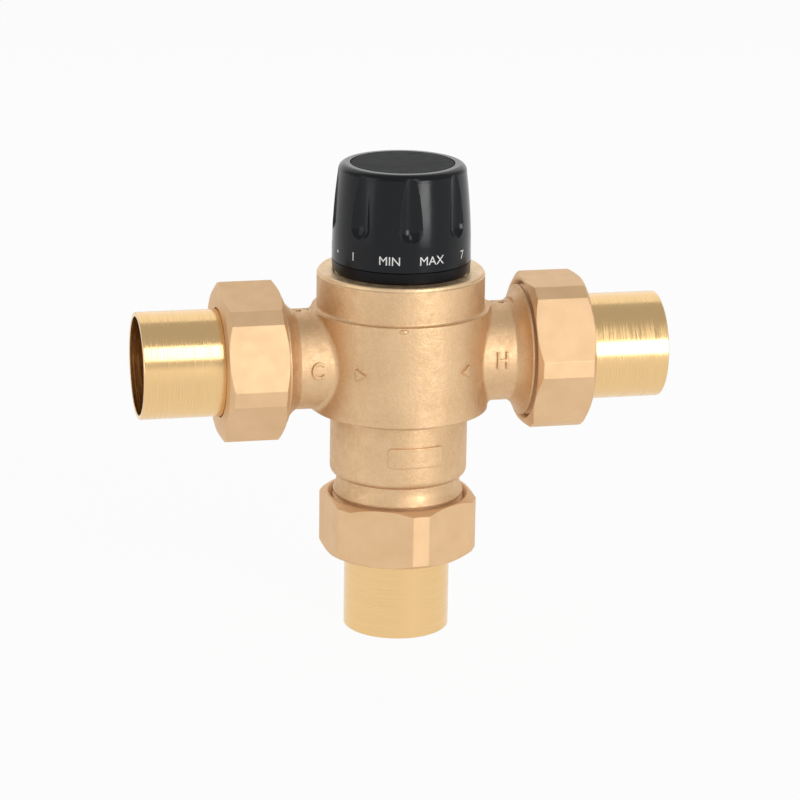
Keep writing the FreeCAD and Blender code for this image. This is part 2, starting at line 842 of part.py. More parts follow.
def make_adjusting_nut():
    """Keyed in the headwork's guide; the spindle's screw thread raises and lowers it."""
    body = new_body("adjusting_nut", D.axis_height)
    guided = D.guide_bore - 0.1
    screw_bore = D.spindle_radius + 0.08
    turn(body, "turned_form", [
        (D.spring_well, D.nut_bottom),
        (D.nut_barrel, D.nut_bottom),
        (D.nut_barrel, D.nut_top - 12.5),
        (guided, D.nut_top - 11.5),
        (guided, D.nut_top),
        (screw_bore, D.nut_top),
        (screw_bore, D.spring_well_top),
        (D.spring_well, D.spring_well_top),
        (D.spring_well, D.cup_ring_bottom + 0.9),
        (D.spring_well + 0.6, D.cup_ring_bottom + 0.9),
        (D.spring_well + 0.6, D.cup_ring_bottom - 0.1),
        (D.spring_well, D.cup_ring_bottom - 0.1),
    ])
    key = new_sketch(body, "key_outline", "XY_Plane", D.nut_top - 10)
    draw_box(key, 0 - D.key_width / 2, 9.5, D.key_width / 2, D.key_radius)
    keys = pad_up(body, "key", key, 9.0)
    repeat_round(body, [keys], 2)
    return body


def make_push_cup():
    """Seat of the overload spring; the sensing element's piston pushes up into it."""
    body = new_body("push_cup", D.axis_height)
    turn(body, "cup", [
        (D.piston_radius + 0.1, D.cup_seat - 4.3),
        (5.4, D.cup_seat - 4.3),
        (5.4, D.cup_seat - 2),
        (D.spring_well - 0.1, D.cup_seat - 2),
        (D.spring_well - 0.1, D.cup_seat),
        (5.5, D.cup_seat),
        (5.0, D.cup_seat + 1.7),
        (0, D.cup_seat + 1.7),
        (0, D.cup_seat - 1.3),
        (D.piston_radius + 0.1, D.cup_seat - 1.3),
    ])
    return body


def make_wax_piston():
    body = new_body("wax_piston", D.axis_height)
    turn(body, "rod", [
        (0, D.piston_bottom),
        (D.piston_radius, D.piston_bottom + 0.4),
        (D.piston_radius, D.cup_seat - 1.8),
        (0, D.cup_seat - 1.3),
    ])
    return body


def make_spring(label, ring_radius, wire, bottom, top, turns):
    body = new_body(label, D.axis_height)
    coil(body, ring_radius, wire, bottom, top, turns)
    return body


# ---- shutter, sensing element and flow guide -----------------------------------------------------

def make_shutter():
    """Sleeve that slides between the cold seat above it and the hot seat below it."""
    body = new_body("shutter", D.axis_height)
    groove = D.shutter_ring_height
    turn(body, "sleeve", [
        (D.shutter_inner, D.shutter_bottom),
        (D.shutter_radius, D.shutter_bottom),
        (D.shutter_radius, groove - 1.1),
        (D.shutter_groove, groove - 1.1),
        (D.shutter_groove, groove + 1.1),
        (D.shutter_radius, groove + 1.1),
        (D.shutter_radius, D.shutter_top),
        (D.shutter_inner, D.shutter_top),
        (D.shutter_inner, groove + 4.5),
        (D.shutter_inner - 1.2, groove + 3.3),
        (D.shutter_inner - 1.2, groove - 3.3),
        (D.shutter_inner, groove - 4.5),
    ])
    spoke_outline = new_sketch(body, "spoke_outline", "XY_Plane", D.hub_bottom)
    draw_box(spoke_outline, D.hub_radius - 0.8, -1.2, D.shutter_inner + 0.8, 1.2)
    spoke = pad_up(body, "spoke", spoke_outline, D.hub_top - D.hub_bottom)
    repeat_round(body, [spoke], 4)
    turn(body, "hub", [
        (D.element_cup + 0.15, D.hub_bottom),
        (D.hub_radius, D.hub_bottom),
        (D.hub_radius, D.hub_top),
        (D.element_cup + 0.15, D.hub_top),
    ])
    return body


def make_wax_element():
    """Sensing element: cup, clamped flange and the neck that guides its piston."""
    body = new_body("wax_element", D.axis_height)
    turn(body, "turned_form", [
        (0, D.element_bottom),
        (D.element_cup - 1, D.element_bottom),
        (D.element_cup, D.element_bottom + 1, 1.0),
        (D.element_cup, D.hub_top),
        (8.2, D.hub_top),
        (8.2, D.hub_top + 2.5),
        (7.8, D.hub_top + 2.9),
        (D.element_neck, D.hub_top + 2.9),
        (D.element_neck, D.element_top - 0.6),
        (D.element_neck - 0.6, D.element_top),
        (D.piston_radius + 0.06, D.element_top),
        (D.piston_radius + 0.06, D.piston_bottom - 3.2),
        (0, D.piston_bottom - 3.2),
    ])
    return body


def make_flow_guide():
    """Lower seat above a skirt with windows, and the ledge that the return spring stands on."""
    body = new_body("flow_guide", D.axis_height)
    seat = D.lower_seat
    ring = D.guide_ring_height
    skirt = D.outlet_bore - 0.1
    turn(body, "turned_form", [
        (12.9, seat),
        (16.3, seat),
        (16.3, seat - 2.5),
        (D.hot_ring_radius - 2.8, seat - 2.5),
        (D.hot_ring_radius - 2.8, 0 - D.hot_ring_drop),
        (skirt, 0 - D.hot_ring_drop),
        (skirt, ring + 0.9),
        (D.guide_groove, ring + 0.9),
        (D.guide_groove, ring - 0.9),
        (skirt, ring - 0.9),
        (skirt, D.spring_ledge - 2),
        (8.0, D.spring_ledge - 2),
        (8.0, D.spring_ledge),
        (12.4, D.spring_ledge),
        (12.4, seat - 1),
    ])
    window = new_sketch(body, "window_outline", "XY_Plane", D.spring_ledge + 2)
    draw_box(window, -3.5, 10.0, 3.5, D.outlet_bore + 1)
    windows = pocket_up(body, "window", window, 8.0)
    repeat_round(body, [windows], 4)
    return body


# ---- pieces of the three ports -------------------------------------------------------------------

PORTS = {
    "cold": (0 - D.inlet_reach, D.axis_height, FreeCAD.Vector(0, 1, 0), -90),
    "hot": (D.inlet_reach, D.axis_height, FreeCAD.Vector(0, 1, 0), 90),
    "mixed": (Size(0.0, "0"), D.axis_height - D.outlet_reach, FreeCAD.Vector(1, 0, 0), 180),
}


def port_body(port, name, twist=None):
    """A body on the axis of a port: zero on the boss's end face and +Z pointing outwards."""
    across, height, hinge, angle = PORTS[port]
    body = doc.addObject("PartDesign::Body", f"{port}_{name}")
    body.Label = f"{port}_{name}"
    rotation = FreeCAD.Rotation(hinge, angle)
    if twist is not None:
        rotation = rotation * FreeCAD.Rotation(FreeCAD.Vector(0, 0, 1), twist.value)
    body.Placement.Rotation = rotation
    body.setExpression(".Placement.Base.x", across.formula)
    body.setExpression(".Placement.Base.z", height.formula)
    return body


def make_union_nut(port, twist):
    """Loose hexagon nut with cut corners, behind the flange of the tailpiece."""
    body = port_body(port, "union_nut", twist)
    apothem = D.nut_flats / 2
    side = (D.nut_corners / 2 - apothem * math.cos(math.pi / 6)) / math.sin(math.pi / 6)
    corners = []
    for face in range(6):
        angle = math.radians(60 * face - 90)
        for half in (-side, side):
            across = apothem * math.cos(angle) - half * math.sin(angle)
            up = apothem * math.sin(angle) + half * math.cos(angle)
            corners.append((across, up))
    outline = draw_outline(new_sketch(body, "outline", "XY_Plane", 0 - D.nut_back), corners)
    pad_up(body, "blank", outline, D.nut_back + D.nut_front)
    inside = D.nut_front - D.nut_shoulder
    turn(body, "bore", [
        (0, 0 - D.nut_back - 1),
        (D.female_thread_radius + D.nut_mouth_chamfer + 1, 0 - D.nut_back - 1),
        (D.female_thread_radius, D.nut_mouth_chamfer - D.nut_back),
        (D.female_thread_radius, inside),
        (D.nut_hole, inside),
        (D.nut_hole, D.nut_front + 1),
        (0, D.nut_front + 1),
    ], cut=True)
    chamfer_end = apothem + 5
    drop = D.nut_chamfer * 2
    turn(body, "front_chamfer", [
        (apothem, D.nut_front),
        (chamfer_end, D.nut_front - drop),
        (chamfer_end, D.nut_front + 1),
        (apothem, D.nut_front + 1),
    ], cut=True)
    turn(body, "back_chamfer", [
        (apothem, 0 - D.nut_back),
        (apothem, 0 - D.nut_back - 1),
        (chamfer_end, 0 - D.nut_back - 1),
        (chamfer_end, drop - D.nut_back),
    ], cut=True)
    return body


def make_union_washer(port):
    body = port_body(port, "union_washer")
    turn(body, "washer", [
        (D.washer_inner, 0.02),
        (D.washer_outer, 0.02),
        (D.washer_outer, D.washer_thickness - 0.02),
        (D.washer_inner, D.washer_thickness - 0.02),
    ])
    return body


def make_tailpiece(port):
    """Flanged tail with a solder socket for a plain copper tube."""
    body = port_body(port, "tailpiece")
    flange_front = D.washer_thickness + D.flange_thickness - 0.02
    socket_floor = D.tail_end - D.socket_depth
    turn(body, "turned_form", [
        (D.tail_waterway, D.washer_thickness),
        (D.flange_radius, D.washer_thickness),
        (D.flange_radius, flange_front),
        (D.tail_radius, flange_front),
        (D.tail_radius, D.tail_end - 0.3),
        (D.tail_radius - 0.3, D.tail_end),
        (D.socket_radius, D.tail_end),
        (D.socket_radius, socket_floor),
        (D.tail_waterway, socket_floor),
    ])
    return body


def make_strainer(port):
    """Slotted basket, its rim held in the boss's mouth."""
    body = port_body(port, "strainer")
    end = D.strainer_length
    turn(body, "basket", [
        (D.strainer_radius, 0 - D.strainer_seat_depth),
        (D.strainer_seat_radius - 0.1, 0 - D.strainer_seat_depth),
        (D.strainer_seat_radius - 0.1, 0),
        (D.strainer_radius, 0),
        (D.strainer_radius, end),
        (0, end),
        (0, end - D.strainer_wall),
        (D.strainer_radius - D.strainer_wall, end - D.strainer_wall),
        (D.strainer_radius - D.strainer_wall, 0 - D.strainer_seat_depth),
    ])
    slot = new_sketch(body, "slot_outline", "XY_Plane", 1.5)
    draw_box(slot, -1.2, 10.0, 1.2, D.strainer_radius + 1)
    slots = pocket_up(body, "slot", slot, end - D.strainer_wall - 2.5)
    repeat_round(body, [slots], D.strainer_slots)
    return body


def make_check_housing(port):
    """Body of the check valve, with its seat round the throat."""
    body = port_body(port, "check_housing")
    bottom = 0.1 - D.cartridge_depth
    top = 0 - D.strainer_seat_depth
    seat = 0 - D.check_seat_depth
    ring = D.check_ring_depth
    turn(body, "turned_form", [
        (D.check_chamber, bottom),
        (D.check_housing_radius, bottom),
        (D.check_housing_radius, 0 - ring - 0.75),
        (D.check_groove, 0 - ring - 0.75),
        (D.check_groove, 0.75 - ring),
        (D.check_housing_radius, 0.75 - ring),
        (D.check_housing_radius, top),
        (D.check_throat + 1, top),
        (D.check_throat, top - 1),
        (D.check_throat, seat),
        (D.check_chamber, seat),
    ])
    return body


def make_check_guide(port):
    """Ring, three legs and a drilled plate that carries the poppet's stem and spring."""
    body = port_body(port, "check_guide")
    bottom = 0.1 - D.cartridge_depth
    outer = D.check_chamber - 0.1
    plate = 0 - D.check_guide_depth
    turn(body, "ring", [
        (D.poppet_radius + 0.2, bottom),
        (outer, bottom),
        (outer, bottom + 2),
        (D.poppet_radius + 0.2, bottom + 2),
    ])
    leg_outline = new_sketch(body, "leg_outline", "XY_Plane", plate)
    draw_box(leg_outline, -1.6, D.poppet_radius - 2.2, 1.6, D.poppet_radius + 0.6)
    leg = pad_up(body, "leg", leg_outline, bottom - plate + 1)
    repeat_round(body, [leg], 3)
    hub = new_sketch(body, "plate_outline", "XY_Plane", plate)
    draw_circle(hub, D.poppet_radius)
    draw_circle(hub, D.check_stem + 0.1)
    pad_up(body, "plate", hub, 2.0)
    hole = new_sketch(body, "flow_hole_outline", "XY_Plane", plate)
    draw_circle(hole, 2.8, 0, -6.4)
    holes = pocket_up(body, "flow_hole", hole, 2.0)
    repeat_round(body, [holes], 3)
    return body


def make_check_poppet(port):
    """Disc with a nose that holds the seal, on a stem guided by the drilled plate."""
    body = port_body(port, "check_poppet")
    bottom = 0 - D.poppet_bottom
    face = bottom + D.poppet_thickness
    turn(body, "turned_form", [
        (0, 0 - D.check_stem_end),
        (D.check_stem - 0.4, 0 - D.check_stem_end),
        (D.check_stem, 0.4 - D.check_stem_end),
        (D.check_stem, bottom - 1.2),
        (D.check_spring_radius - 0.7, bottom - 1.2),
        (D.check_spring_radius - 0.7, bottom),
        (D.poppet_radius, bottom),
        (D.poppet_radius, face),
        (D.poppet_nose, face),
        (D.poppet_nose, face + 0.9),
        (D.poppet_nose - 1.6, face + 1.8),
        (0, face + 1.8),
    ])
    return body


def make_check_seal(port):
    body = port_body(port, "check_seal")
    face = D.poppet_thickness - D.poppet_bottom
    outer = D.poppet_radius - 0.1
    inner = D.poppet_nose + 0.02
    top = 0 - D.check_seat_depth - 0.02
    turn(body, "seal", [(inner, face), (outer, face), (outer, top), (inner, top)])
    return body


def make_check_spring(port):
    body = port_body(port, "check_spring")
    bottom = 2.0 - D.check_guide_depth
    coil(body, D.check_spring_radius, D.check_spring_wire, bottom, 0 - D.poppet_bottom, 6)
    return body


def make_check_o_ring(port):
    body = port_body(port, "check_o_ring")
    section = draw_circle(new_sketch(body, "section"), 0.73, D.check_housing_radius - 0.68,
                          0 - D.check_ring_depth)
    turn_sketch(body, "o_ring", section)
    return body


def make_port(port, twist):
    return [make_union_nut(port, twist), make_union_washer(port), make_tailpiece(port)]


def make_inlet_cartridge(port):
    return [
        make_strainer(port),
        make_check_housing(port),
        make_check_o_ring(port),
        make_check_guide(port),
        make_check_poppet(port),
        make_check_seal(port),
        make_check_spring(port),
    ]


# ---- the whole valve -----------------------------------------------------------------------------

def make_top_works():
    """Headwork, spindle and knob."""
    gland_ring = D.spindle_radius - 0.51
    seal_height = D.top_reach - D.headwork_flange_thickness - D.seal_pocket_depth / 2
    return [
        make_headwork(),
        make_o_ring("headwork_o_ring", D.seal_pocket_radius - 1.15, 0.86, seal_height),
        make_index_ring(),
        make_ring("thrust_washer", D.spindle_radius + 0.13, D.thrust_pocket - 0.4,
                  D.thrust_shoulder - 0.55, D.thrust_shoulder - 0.05),
        make_spindle(),
        make_o_ring("lower_spindle_o_ring", gland_ring, 0.54, D.lower_o_ring),
        make_o_ring("upper_spindle_o_ring", gland_ring, 0.54, D.upper_o_ring),
        make_snap_ring("spindle_circlip", D.clip_groove + 0.05, D.spindle_radius + 1.6,
                       D.headwork_top + 0.4, 0.7, 3.0, False),
        make_knob(),
        make_knob_cap(),
        make_knob_screw(),
    ]


def make_mixing_works():
    """What the spindle moves, the shutter and its sensing element, and the lower seat."""
    return [
        make_adjusting_nut(),
        make_spring("overload_spring", D.spring_well - 1.4, D.overload_spring_wire,
                    D.cup_seat, D.spring_well_top, 5),
        make_push_cup(),
        make_snap_ring("cup_ring", D.spring_well - 1.5, D.spring_well + 0.5,
                       D.cup_ring_bottom + 0.05, 0.7, 4.0, True),
        make_wax_piston(),
        make_shutter(),
        make_o_ring("shutter_o_ring", D.shutter_radius - 0.8, 0.84, D.shutter_ring_height),
        make_wax_element(),
        make_spring("return_spring", D.return_spring_radius, D.return_spring_wire,
                    D.spring_ledge, D.hub_bottom, 8),
        make_flow_guide(),
        make_o_ring("flow_guide_o_ring", D.outlet_bore - 0.65, 0.62, D.guide_ring_height),
    ]


def export(bodies):
    doc.recompute()
    for item in doc.Objects:
        if "Invalid" in item.State or "Error" in item.State:
            raise RuntimeError(f"{item.Label}: {item.State}")
    os.makedirs("parts", exist_ok=True)
    for body in bodies:
        if body.Shape.isNull() or not body.Shape.isValid():
            raise RuntimeError(f"{body.Label} has no valid shape")
        body.Shape.exportStep(f"parts/{body.Label}.step")


pieces = [make_valve_body()]
pieces += make_top_works()
pieces += make_mixing_works()
pieces += make_port("cold", D.cold_nut_turn)
pieces += make_port("hot", D.hot_nut_turn)
pieces += make_port("mixed", D.mixed_nut_turn)
pieces += make_inlet_cartridge("cold")
pieces += make_inlet_cartridge("hot")
export(pieces)
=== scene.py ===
"""Finish, marks and studio for a three-way mixing valve with union ends."""

import json
import math

import bmesh
import bpy
from mathutils import Matrix, Vector

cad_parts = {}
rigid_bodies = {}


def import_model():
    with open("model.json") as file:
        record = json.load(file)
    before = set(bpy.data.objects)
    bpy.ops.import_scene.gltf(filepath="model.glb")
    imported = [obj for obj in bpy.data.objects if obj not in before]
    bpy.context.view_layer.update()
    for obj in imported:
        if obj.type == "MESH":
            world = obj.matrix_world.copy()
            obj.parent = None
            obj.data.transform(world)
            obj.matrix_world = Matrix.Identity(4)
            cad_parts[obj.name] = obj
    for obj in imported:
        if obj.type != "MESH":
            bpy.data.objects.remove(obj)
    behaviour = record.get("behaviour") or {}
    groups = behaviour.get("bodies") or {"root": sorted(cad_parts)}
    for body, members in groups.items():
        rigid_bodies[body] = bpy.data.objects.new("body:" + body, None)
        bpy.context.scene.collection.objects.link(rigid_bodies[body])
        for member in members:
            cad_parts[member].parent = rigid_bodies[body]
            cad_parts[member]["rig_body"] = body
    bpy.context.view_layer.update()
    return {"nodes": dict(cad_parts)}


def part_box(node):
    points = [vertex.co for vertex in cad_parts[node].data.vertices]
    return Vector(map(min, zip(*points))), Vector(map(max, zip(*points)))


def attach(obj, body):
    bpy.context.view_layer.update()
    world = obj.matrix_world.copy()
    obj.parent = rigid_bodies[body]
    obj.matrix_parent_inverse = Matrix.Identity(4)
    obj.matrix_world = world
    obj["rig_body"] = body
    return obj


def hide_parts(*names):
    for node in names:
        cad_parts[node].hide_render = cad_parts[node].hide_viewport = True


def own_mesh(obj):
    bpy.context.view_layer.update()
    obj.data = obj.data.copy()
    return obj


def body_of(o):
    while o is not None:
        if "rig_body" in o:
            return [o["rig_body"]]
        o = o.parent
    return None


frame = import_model()

MM = 0.001
NODES = frame["nodes"]


# ---- places read from the solids -----------------------------------------------------------------

def node_centre(node):
    low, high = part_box(node)
    return (Vector(low) + Vector(high)) / 2


AXIS_HEIGHT = node_centre("hot_tailpiece").z
BODY_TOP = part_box("valve_body")[1][2]
TURNED_LIP = BODY_TOP - 1.35 * MM
KNOB_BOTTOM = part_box("knob")[0][2]
BAND_RADIUS = 31.7 * MM
ARM_RADIUS = 17.9 * MM
WAIST_RADIUS = 24.62 * MM
KNOB_RADIUS = 24.7 * MM
KNOB_TURN = math.radians(-4.5)

CAPITAL_SHARE = 0.7  # a capital letter's height in its font size
STRIP = 0.6 * MM  # width of the strips that let a flat mark bend
WELD = 1e-6  # corners of a letter closer than this become one
ON_CUT = 1e-7  # a corner closer than this to a cut lies on it


# ---- materials -----------------------------------------------------------------------------------

class Finish:
    """A material on Object coordinates, with the few nodes that every finish here is made from."""

    FIRST_COLOUR, SECOND_COLOUR, MIXED_COLOUR = 6, 7, 2  # sockets of a mix node set to colours

    def __init__(self, name, colour, metallic=0.0, roughness=0.5):
        self.material = bpy.data.materials.new(name)
        self.material.use_nodes = True
        self.tree = self.material.node_tree
        self.shader = self.tree.nodes["Principled BSDF"]
        self.shader.inputs["Base Color"].default_value = (*colour, 1)
        self.shader.inputs["Metallic"].default_value = metallic
        self.shader.inputs["Roughness"].default_value = roughness
        self.coordinates = self.node("ShaderNodeTexCoord").outputs["Object"]

    def node(self, kind, **settings):
        made = self.tree.nodes.new(kind)
        for key, value in settings.items():
            setattr(made, key, value)
        return made

    def link(self, output, socket):
        self.tree.links.new(output, socket)

    def noise(self, grain, detail=2.0, stretch=(1, 1, 1)):
        """Noise with grains of the given size in metres; stretch squeezes them along an axis."""
        mapping = self.node("ShaderNodeMapping")
        mapping.inputs["Scale"].default_value = stretch
        self.link(self.coordinates, mapping.inputs["Vector"])
        texture = self.node("ShaderNodeTexNoise")
        texture.inputs["Scale"].default_value = 1 / grain
        texture.inputs["Detail"].default_value = detail
        self.link(mapping.outputs["Vector"], texture.inputs["Vector"])
        return texture.outputs["Fac"]

    def remap(self, value, low, high, start=0.35, stop=0.65):
        span = self.node("ShaderNodeMapRange")
        span.inputs["From Min"].default_value = start
        span.inputs["From Max"].default_value = stop
        span.inputs["To Min"].default_value = low
        span.inputs["To Max"].default_value = high
        self.link(value, span.inputs["Value"])
        return span.outputs["Result"]

    def math(self, operation, first, second=None):
        step = self.node("ShaderNodeMath", operation=operation)
        for socket, value in zip(step.inputs, (first, second)):
            if value is None:
                continue
            if isinstance(value, (int, float)):
                socket.default_value = value
            else:
                self.link(value, socket)
        return step.outputs["Value"]

    def axis(self, letter):
        split = self.node("ShaderNodeSeparateXYZ")
        self.link(self.coordinates, split.inputs["Vector"])
        return split.outputs[letter]

    def blend(self, factor, first, second):
        """Mix two colours; each is a colour or an output."""
        mix = self.node("ShaderNodeMix", data_type="RGBA")
        for place, colour in ((self.FIRST_COLOUR, first), (self.SECOND_COLOUR, second)):
            if isinstance(colour, tuple):
                mix.inputs[place].default_value = (*colour, 1)
            else:
                self.link(colour, mix.inputs[place])
        self.link(factor, mix.inputs["Factor"])
        return mix.outputs[self.MIXED_COLOUR]

    def colour_from(self, output):
        self.link(output, self.shader.inputs["Base Color"])

    def roughness_from(self, output):
        self.link(output, self.shader.inputs["Roughness"])

    def bump(self, height, depth, below=None, strength=1.0):
        made = self.node("ShaderNodeBump")
        made.inputs["Distance"].default_value = depth
        made.inputs["Strength"].default_value = strength
        self.link(height, made.inputs["Height"])
        if below is not None:
            self.link(below, made.inputs["Normal"])
        self.link(made.outputs["Normal"], self.shader.inputs["Normal"])
        return made.outputs["Normal"]

    def soft_edges(self, radius):
        edge = self.node("ShaderNodeBevel", samples=6)
        edge.inputs["Radius"].default_value = radius
        return edge.outputs["Normal"]


def cast_brass():
    """Bead-blasted casting, with the turned lip and top face smoother and paler."""
    finish = Finish("cast_brass", (0.72, 0.49, 0.28), 0.88, 0.5)
    blotch = finish.remap(finish.noise(14 * MM, 3), 0, 1)
    speck = finish.remap(finish.noise(0.8 * MM, 2), 0, 1, 0.4, 0.7)
    warm = finish.blend(blotch, (0.75, 0.515, 0.295), (0.68, 0.455, 0.25))
    cast = finish.blend(finish.math("MULTIPLY", speck, 0.35), warm, (0.84, 0.62, 0.40))
    turned = finish.math("GREATER_THAN", finish.axis("Z"), TURNED_LIP)
    finish.colour_from(finish.blend(turned, cast, (0.82, 0.60, 0.36)))
    rough = finish.remap(finish.noise(3 * MM, 3), 0.46, 0.6)
    finish.roughness_from(finish.math("SUBTRACT", rough, finish.math("MULTIPLY", turned, 0.1)))
    edges = finish.soft_edges(0.7 * MM)
    orange_peel = finish.bump(finish.noise(2.6 * MM, 2), 0.14 * MM, edges, 0.6)
    finish.bump(finish.noise(0.75 * MM, 2), 0.10 * MM, orange_peel, 0.9)
    return finish.material


def pressed_brass():
    """Hexagon nuts: satin pale brass with faint milling marks."""
    finish = Finish("pressed_brass", (0.80, 0.55, 0.32), 0.88, 0.56)
    cloud = finish.remap(finish.noise(9 * MM, 3), 0, 1)
    finish.colour_from(finish.blend(cloud, (0.82, 0.565, 0.33), (0.78, 0.53, 0.30)))
    finish.roughness_from(finish.remap(finish.noise(4 * MM, 3), 0.53, 0.59))
    edges = finish.soft_edges(0.45 * MM)
    finish.bump(finish.noise(0.7 * MM, 2), 0.006 * MM, edges, 0.6)
    return finish.material


def turned_brass(name, along):
    """Turned brass with fine lines round the given axis."""
    colour = (0.85, 0.575, 0.275)
    rough = 0.17
    finish = Finish(name, colour, 1.0, rough)
    squeeze = tuple(1.0 if letter == along else 0.02 for letter in "XYZ")
    lines = finish.noise(0.35 * MM, 4, squeeze)
    streak = finish.remap(lines, 0, 1, 0.4, 0.6)
    darker = tuple(0.97 * part for part in colour)
    finish.colour_from(finish.blend(streak, colour, darker))
    finish.roughness_from(finish.remap(lines, rough - 0.05, rough + 0.12))
    finish.bump(lines, 0.004 * MM, finish.soft_edges(0.3 * MM), 0.5)
    return finish.material


def moulded(name, colour, rough, grain=0.4 * MM, depth=0.006 * MM, gloss=0.5):
    """Moulded plastic or rubber with a faint texture."""
    finish = Finish(name, colour, 0.0, rough)
    finish.shader.inputs["Specular IOR Level"].default_value = gloss
    finish.roughness_from(finish.remap(finish.noise(5 * MM, 2), rough - 0.015, rough + 0.02))
    finish.bump(finish.noise(grain, 2), depth, finish.soft_edges(0.3 * MM), 0.5)
    return finish.material


def steel(name, rough):
    finish = Finish(name, (0.60, 0.60, 0.60), 1.0, rough)
    finish.roughness_from(finish.remap(finish.noise(1.0 * MM, 3), rough - 0.05, rough + 0.08))
    finish.bump(finish.noise(0.3 * MM, 2), 0.004 * MM, None, 0.5)
    return finish.material


def white_print():
    finish = Finish("white_print", (0.86, 0.86, 0.84), 0.0, 0.45)
    finish.roughness_from(finish.remap(finish.noise(0.8 * MM, 2), 0.4, 0.52))
    return finish.material


CAST = cast_brass()
PRESSED = pressed_brass()
TURNED_X = turned_brass("turned_brass_x", "X")
TURNED_Z = turned_brass("turned_brass_z", "Z")
JET = (0.006, 0.007, 0.009)
BLACK = moulded("black_plastic", JET, 0.17, depth=0.003 * MM, gloss=0.24)
BLACK_CAP = moulded("black_cap_plastic", JET, 0.35, depth=0.003 * MM, gloss=0.012)
BLACK_RING = moulded("black_ring_plastic", (0.007, 0.007, 0.009), 0.3, gloss=0.14)
PALE = moulded("pale_plastic", (0.78, 0.76, 0.70), 0.42)
GREY = moulded("grey_plastic", (0.12, 0.12, 0.13), 0.42)
RUBBER = moulded("black_rubber", (0.02, 0.02, 0.02), 0.6, 0.25 * MM, 0.01 * MM)
SPRING_STEEL = steel("spring_steel", 0.24)
SHEET_STEEL = steel("sheet_steel", 0.34)
PRINT = white_print()

FINISHES = {
    "valve_body": CAST,
    "headwork": TURNED_Z,
    "spindle": TURNED_Z,
    "adjusting_nut": TURNED_Z,
    "wax_element": TURNED_Z,
    "mixed_tailpiece": TURNED_Z,
    "cold_tailpiece": TURNED_X,
    "hot_tailpiece": TURNED_X,
    "knob": BLACK,
    "knob_cap": BLACK_CAP,
    "index_ring": BLACK_RING,
    "shutter": PALE,
    "flow_guide": PALE,
    "push_cup": GREY,
    "overload_spring": SPRING_STEEL,
    "return_spring": SPRING_STEEL,
    "wax_piston": SPRING_STEEL,
    "knob_screw": SPRING_STEEL,
    "spindle_circlip": SPRING_STEEL,
    "cup_ring": SPRING_STEEL,
    "thrust_washer": SHEET_STEEL,
}
ENDINGS = {
    "union_nut": PRESSED,
    "union_washer": RUBBER,
    "o_ring": RUBBER,
    "check_seal": RUBBER,
    "strainer": SHEET_STEEL,
    "check_spring": SPRING_STEEL,
    "check_housing": PALE,
    "check_guide": PALE,
    "check_poppet": PALE,
}


def finish_of(node):
    if node in FINISHES:
        return FINISHES[node]
    for ending, material in ENDINGS.items():
        if node.endswith(ending):
            return material
    raise ValueError(f"{node} has no finish")


for node, piece in NODES.items():
    piece.data.materials.clear()
    piece.data.materials.append(finish_of(node))


# ---- raised and printed marks --------------------------------------------------------------------

def add_piece(name, shape, material, body):
    """Turn a bmesh into a piece that rides on a body."""
    mesh = bpy.data.meshes.new(name)
    shape.to_mesh(mesh)
    shape.free()
    mesh.materials.append(material)
    piece = bpy.data.objects.new(name, mesh)
    bpy.context.scene.collection.objects.link(piece)
    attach(piece, body)
    return piece


def letters(text, height, thickness, rounding, bolder=0.0):
    """Solid text lying in the XY plane, centred, its foot at z = 0, as a bmesh."""
    curve = bpy.data.curves.new("letters", "FONT")
    curve.body = text
    curve.size = height / CAPITAL_SHARE
    curve.align_x = "CENTER"
    curve.extrude = thickness / 2 - rounding
    curve.bevel_depth = rounding
    curve.bevel_resolution = 1
    curve.offset = bolder - rounding
    holder = bpy.data.objects.new("letters", curve)
    bpy.context.scene.collection.objects.link(holder)
    bpy.context.view_layer.update()
    solid = holder.evaluated_get(bpy.context.evaluated_depsgraph_get())
    mesh = bpy.data.meshes.new_from_object(solid)
    bpy.data.objects.remove(holder)
    shape = bmesh.new()
    shape.from_mesh(mesh)
    bpy.data.meshes.remove(mesh)
    bmesh.ops.remove_doubles(shape, verts=shape.verts, dist=WELD)
    bmesh.ops.translate(shape, verts=shape.verts, vec=(0, -height / 2, thickness / 2))
    return shape


def slice_across(shape, direction):
    """Cut a shape into strips so that it can bend smoothly across a direction."""
    reach = [vert.co.dot(direction) for vert in shape.verts]
    count = int((max(reach) - min(reach)) / STRIP)
    for index in range(1, count + 1):
        place = min(reach) + index * STRIP
        bmesh.ops.bisect_plane(
            shape,
            geom=shape.verts[:] + shape.edges[:] + shape.faces[:],
            dist=ON_CUT,
            plane_co=direction * place,
            plane_no=direction,
        )


def wrap_upright(shape, radius, azimuth, height):
    """Bend a flat shape round the valve's axis. Azimuth 0 is the front, positive towards +X."""
    slice_across(shape, Vector((1, 0, 0)))
    for vert in shape.verts:
        angle = azimuth + vert.co.x / radius
        reach = radius + vert.co.z
        vert.co = Vector((reach * math.sin(angle), -reach * math.cos(angle), height + vert.co.y))


def wrap_arm(shape, along, tilt):
    """Bend a flat shape round the inlet axis. Tilt 0 is the front, positive upwards."""
    slice_across(shape, Vector((0, 1, 0)))
    for vert in shape.verts:
        angle = tilt + vert.co.y / ARM_RADIUS
        reach = ARM_RADIUS + vert.co.z
        height = AXIS_HEIGHT + reach * math.sin(angle)
        vert.co = Vector((along + vert.co.x, -reach * math.cos(angle), height))


def sink(shape, depth):
    """Lower a mark so that its foot lies inside the surface that it stands on."""
    bmesh.ops.translate(shape, verts=shape.verts, vec=(0, 0, -depth))


def round_edges(shape, edges, radius, segments=2):
    bmesh.ops.bevel(
        shape,
        geom=edges,
        offset=radius,
        segments=segments,
        profile=0.5,
        affect="EDGES",
        material=-1,
    )


